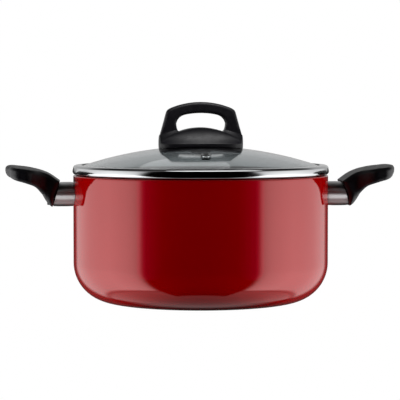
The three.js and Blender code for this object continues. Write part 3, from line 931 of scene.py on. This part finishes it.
# The view comes from a little left of the front; the studio's light is turned with it.
CAMERA_TURN = math.radians(4)


def make_floor():
    """Pale table that shows white in the picture; the sky holds the light that it gives back."""
    mesh = bpy.data.meshes.new("floor")
    reach, drop, glow = 40.0, 0.0002, 0.995
    mesh.from_pydata([(-reach, -reach, 0), (reach, -reach, 0), (reach, reach, 0), (-reach, reach, 0)],
                     [], [(0, 1, 2, 3)])
    floor = add_object("floor", mesh)
    shade = Shader("floor_white", roughness=0.9, specular_ior_level=0.0)
    shade.feed(shade.surface, base_color=(0.04, 0.04, 0.04, 1), emission_color=(1, 1, 1, 1),
               emission_strength=glow)
    mesh.materials.append(shade.material)
    floor.location.z = -drop
    floor.visible_glossy = False
    floor.visible_diffuse = False
    floor.visible_shadow = False


def make_shade_card():
    """Black disc round the foot that only keeps the light from below off the foot."""
    mesh = bpy.data.meshes.new("shade_card")
    wide, deep, height, sides = 0.1, 0.15, -0.01, 64
    rim = [(wide * math.cos(TURN * k / sides), deep * math.sin(TURN * k / sides), height)
           for k in range(sides)]
    mesh.from_pydata(rim, [], [tuple(range(sides))])
    card = add_object("shade_card", mesh)
    shade = Shader("card_black", roughness=1.0, specular_ior_level=0.0)
    shade.feed(shade.surface, base_color=(0, 0, 0, 1))
    mesh.materials.append(shade.material)
    card.visible_camera = False
    card.visible_glossy = False
    card.visible_transmission = False


class Sky(Shader):
    """Nodes for the studio round the pot, which is painted by direction."""

    def __init__(self):
        world = bpy.data.worlds.new("studio")
        bpy.context.scene.world = world
        world.use_nodes = True
        self.tree = world.node_tree
        self.place = self.node("ShaderNodeTexCoord").outputs["Generated"]

    def ease(self, value, low, high, to_low=0.0, to_high=1.0):
        """Smooth step between two limits."""
        return self.span(value, low, high, to_low, to_high, "SMOOTHSTEP")

    def product(self, *values):
        made = values[0]
        for value in values[1:]:
            made = self.math("MULTIPLY", made, value)
        return made


def side_lamps(sky, side, z):
    """Two tall lamps beside the pot; `side` is the angle from the front, 0, to the back, 1."""
    ramp = sky.node("ShaderNodeValToRGB")
    levels = ((49, 0.0), (52, 0.03), (54, 0.18), (56, 0.45), (59, 0.72), (63, 0.88), (70, 0.97),
              (80, 1.0), (90, 0.98), (100, 0.85), (110, 0.73), (120, 0.62), (130, 0.555), (140, 0.47),
              (147, 0.38), (151, 0.13), (155, 0.015), (160, 0.01))
    narrowing_start, narrowing, strength = 0.12, 0.4, 2.86
    stops = ramp.color_ramp.elements
    while len(stops) < len(levels):
        stops.new(0.5)
    for stop, (degrees, level) in zip(stops, levels):
        stop.position = degrees / 180
        stop.color = (level, level, level, 1)
    raised = sky.math("MAXIMUM", sky.math("SUBTRACT", z, narrowing_start), 0.0)
    narrowed = sky.math("ADD", side, sky.math("MULTIPLY", raised, narrowing))
    sky.tree.links.new(narrowed, ramp.inputs[0])
    return sky.product(ramp.outputs[0], sky.ease(z, -0.2, 0.45, 1.0, 0.04), strength)


def table_glow(sky, side, y, z):
    """What a pale table throws back from below; returns it and where the lamps end above it."""
    lean = 0.21
    leaning = sky.math("SUBTRACT", z, sky.math("MULTIPLY", y, lean))
    lamp_end = sky.ease(leaning, -0.77, -0.70)
    level = sky.span(z, -1.0, -0.8, 0.36, 0.75)
    wedge = sky.math("MAXIMUM", sky.ease(side, 0.275, 0.305), sky.ease(z, -0.97, -0.94, 1.0, 0.0))
    behind = sky.ease(side, 0.81, 0.85)
    under = sky.ease(leaning, -0.79, -0.73, 1.0, 0.0)
    ahead = sky.math("MULTIPLY", sky.math("SUBTRACT", 1.0, behind), under)
    shaded = sky.math("MULTIPLY", behind, sky.ease(z, -0.92, -0.65, 1.0, 0.02))
    return sky.product(level, wedge, sky.math("ADD", ahead, shaded)), lamp_end


def make_studio():
    """Two tall side lamps, the table's glow and a low pale backdrop behind; the camera sees white.

    The roof and the front stay dark. Directions are in axes turned with the camera.
    """
    sky = Sky()
    turned = sky.node("ShaderNodeVectorRotate", rotation_type="Z_AXIS")
    sky.feed(turned, vector=sky.place, angle=CAMERA_TURN)
    split = sky.feed(sky.node("ShaderNodeSeparateXYZ"), vector=turned.outputs[0])
    x, y, z = split.outputs
    front = sky.math("MULTIPLY", y, -1.0)
    side = sky.math("DIVIDE", sky.math("ARCTAN2", sky.math("ABSOLUTE", x), front), math.pi)
    table, lamp_end = table_glow(sky, side, y, z)
    light = sky.math("ADD", sky.product(side_lamps(sky, side, z), lamp_end), table)
    backdrop = sky.product(sky.ease(y, 0.50, 0.62), sky.ease(z, -0.02, 0.01),
                           sky.ease(z, 0.35, 0.82, 0.55, 0.0))
    light = sky.math("MAXIMUM", light, backdrop)
    seen = sky.node("ShaderNodeLightPath").outputs["Is Camera Ray"]
    glow, white = (sky.node("ShaderNodeBackground") for _ in range(2))
    for background in (glow, white):
        background.inputs["Color"].default_value = (1, 1, 1, 1)
    sky.tree.links.new(light, glow.inputs["Strength"])
    mix = sky.node("ShaderNodeMixShader")
    sky.tree.links.new(seen, mix.inputs[0])
    sky.tree.links.new(glow.outputs[0], mix.inputs[1])
    sky.tree.links.new(white.outputs[0], mix.inputs[2])
    out = sky.tree.nodes.get("World Output") or sky.node("ShaderNodeOutputWorld")
    sky.tree.links.new(mix.outputs[0], out.inputs["Surface"])


def make_lamp(name, pieces, place, aim, wide, deep, energy):
    """Area lamp that reaches only the named pieces; returns the lamp's data."""
    data = bpy.data.lights.new(name, "AREA")
    data.shape = "ELLIPSE"
    data.size, data.size_y = wide, deep
    data.energy = energy
    lamp = add_object(name, data)
    lamp.location = place
    lamp.rotation_euler = (aim - place).to_track_quat("-Z", "Y").to_euler()
    lamp.visible_camera = False
    reached = bpy.data.collections.new(f"{name}_reaches")
    for piece in pieces:
        reached.objects.link(bpy.data.objects[piece])
    lamp.light_linking.receiver_collection = reached
    return data


def make_lamps():
    """Lamps that each reach only the knob, the band, the dome, the ferrules or the pot's shell."""
    top = Vector((0, 0, KNOB_HIGH.z * MM))
    away = 0.9
    overhead = top + away * Vector((0.12, -0.36, 0.93)).normalized()
    ahead = top + away * Vector((0.12, -0.62, 0.78)).normalized()
    behind = Vector((0.0, 0.75, 0.76))
    below = Vector((0, -0.65, -0.05))
    upwards = below + Vector((0, 0, 1))
    ferrules = [f"{side}_ferrule_sleeve" for side in SIDES]
    make_lamp("knob_lamp", ["loop_knob"], overhead, top, wide=0.5, deep=0.5, energy=5.0)
    make_lamp("band_lamp", ["lid_band"], ahead, top, wide=1.3, deep=0.5, energy=3.6)
    make_lamp("dome_lamp", ["lid_dome"], behind, top, wide=0.3, deep=0.42, energy=0.12)
    make_lamp("ferrule_lamp", ferrules, below, upwards, wide=1.2, deep=1.2, energy=4.8)
    for side_name, sign in (("right", 1), ("left", -1)):
        make_fringe(side_name, sign)


def make_fringe(side_name, sign):
    """Dim purple light at the front edge of one side lamp, in steps that grow outwards."""
    outer, away, tall = 57, 2.5, 2.4
    middle = Vector((0, 0, 0.05))
    for inner, level in ((34, 0.12), (39, 0.15), (44, 0.2), (49, 0.35)):
        heading = sign * math.radians((inner + outer) / 2) - CAMERA_TURN
        wide = 2 * away * math.tan(math.radians(outer - inner) / 2)
        place = middle + away * Vector((math.sin(heading), -math.cos(heading), 0))
        energy = level * math.pi * (math.pi / 4 * wide * tall)
        name = f"fringe_{side_name}_{inner}"
        lamp = make_lamp(name, ["pot_shell"], place, middle, wide, tall, energy)
        lamp.color = (1, 0, 0.2)


def make_camera():
    """Long lens at 1.79 m, a little above the knob, turned 4 degrees towards the left handle."""
    distance, height = 1.79, 0.195
    across = 0.3867
    aim = Vector((-0.00067, 0, 0.0979))
    data = bpy.data.cameras.new("camera")
    data.sensor_width = 36
    data.lens = 36 * distance / across
    data.clip_end = 100
    camera = add_object("camera", data)
    camera.location = (-distance * math.sin(CAMERA_TURN), -distance * math.cos(CAMERA_TURN), height)
    camera.rotation_euler = (aim - camera.location).to_track_quat("-Z", "Y").to_euler()
    bpy.context.scene.camera = camera


make_floor()
make_shade_card()
make_studio()
make_lamps()
make_camera()
bpy.context.scene.view_settings.view_transform = "Standard"
